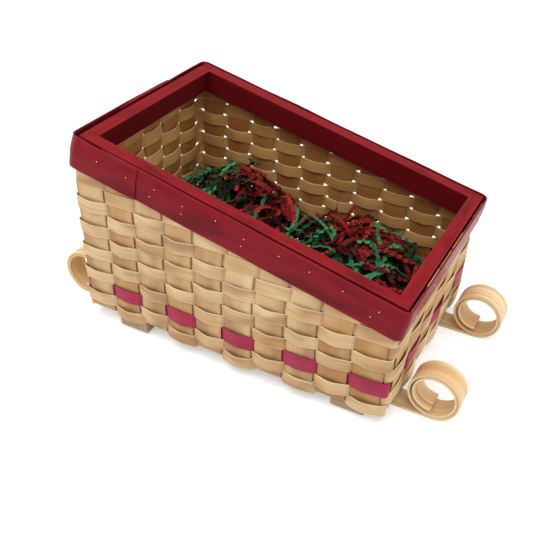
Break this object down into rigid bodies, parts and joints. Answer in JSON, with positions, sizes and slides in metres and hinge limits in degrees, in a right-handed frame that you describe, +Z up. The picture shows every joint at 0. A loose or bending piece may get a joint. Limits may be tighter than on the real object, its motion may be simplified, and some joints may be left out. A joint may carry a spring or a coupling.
{
  "type": "sleigh hamper",
  "caption": "Woven splint hamper with a sloping stained rim, carried on bentwood sleigh runners with scrolled ends, filled with loose shredded paper.",
  "frame": {"origin": "centre of the overall box at its bottom, on the surface that the runners stand on", "axes": "+X to the low front end of the sleigh, +Y to its left side, +Z up"},
  "size_m": [0.36, 0.1834, 0.1703],
  "materials": {
    "natural_splint": "satin",
    "red_splint": "satin",
    "stained_batten": "satin",
    "stained_band": "satin",
    "raw_bar": "matte",
    "bent_runner": "satin",
    "nail_steel": "satin",
    "shredded_paper": "matte"
  },
  "bodies": {
    "hamper": {"cross_stake_01": "natural_splint", "cross_stake_02": "natural_splint", "cross_stake_03": "natural_splint", "cross_stake_04": "natural_splint", "cross_stake_05": "natural_splint", "cross_stake_06": "natural_splint", "cross_stake_07": "natural_splint", "cross_stake_08": "natural_splint", "cross_stake_09": "natural_splint", "cross_stake_10": "natural_splint", "long_stake_01": "natural_splint", "long_stake_02": "natural_splint", "long_stake_03": "natural_splint", "long_stake_04": "natural_splint", "long_stake_05": "natural_splint", "long_stake_06": "natural_splint", "weaver_row_01": "natural_splint", "weaver_row_02": "natural_splint", "weaver_row_03": "red_splint", "weaver_row_04": "natural_splint", "weaver_row_05": "natural_splint", "weaver_row_06": "natural_splint", "weaver_row_07": "natural_splint", "weaver_row_08": "natural_splint", "weaver_row_09": "natural_splint", "weaver_row_10": "natural_splint", "weaver_row_11": "natural_splint", "weaver_row_12": "natural_splint", "rim_batten_right": "stained_batten", "rim_batten_left": "stained_batten", "rim_batten_back": "stained_batten", "rim_batten_front": "stained_batten", "rim_band_long": "stained_band", "rim_band_short": "stained_band", "rim_nail_back_right": "nail_steel", "rim_nail_back_left": "nail_steel", "rim_nail_front_right": "nail_steel", "rim_nail_front_left": "nail_steel", "base_bar_back": "raw_bar", "base_bar_front": "raw_bar", "runner_right": "bent_runner", "runner_left": "bent_runner", "runner_nail_back_right": "nail_steel", "runner_nail_front_right": "nail_steel", "runner_nail_back_left": "nail_steel", "runner_nail_front_left": "nail_steel"},
    "paper": {"paper_fill": "shredded_paper"}
  },
  "joints": [
    {"name": "paper_lift", "type": "slide", "parent": "hamper", "child": "paper", "axis": [0, 0, 1], "range_m": [0, 0.16]}
  ]
}
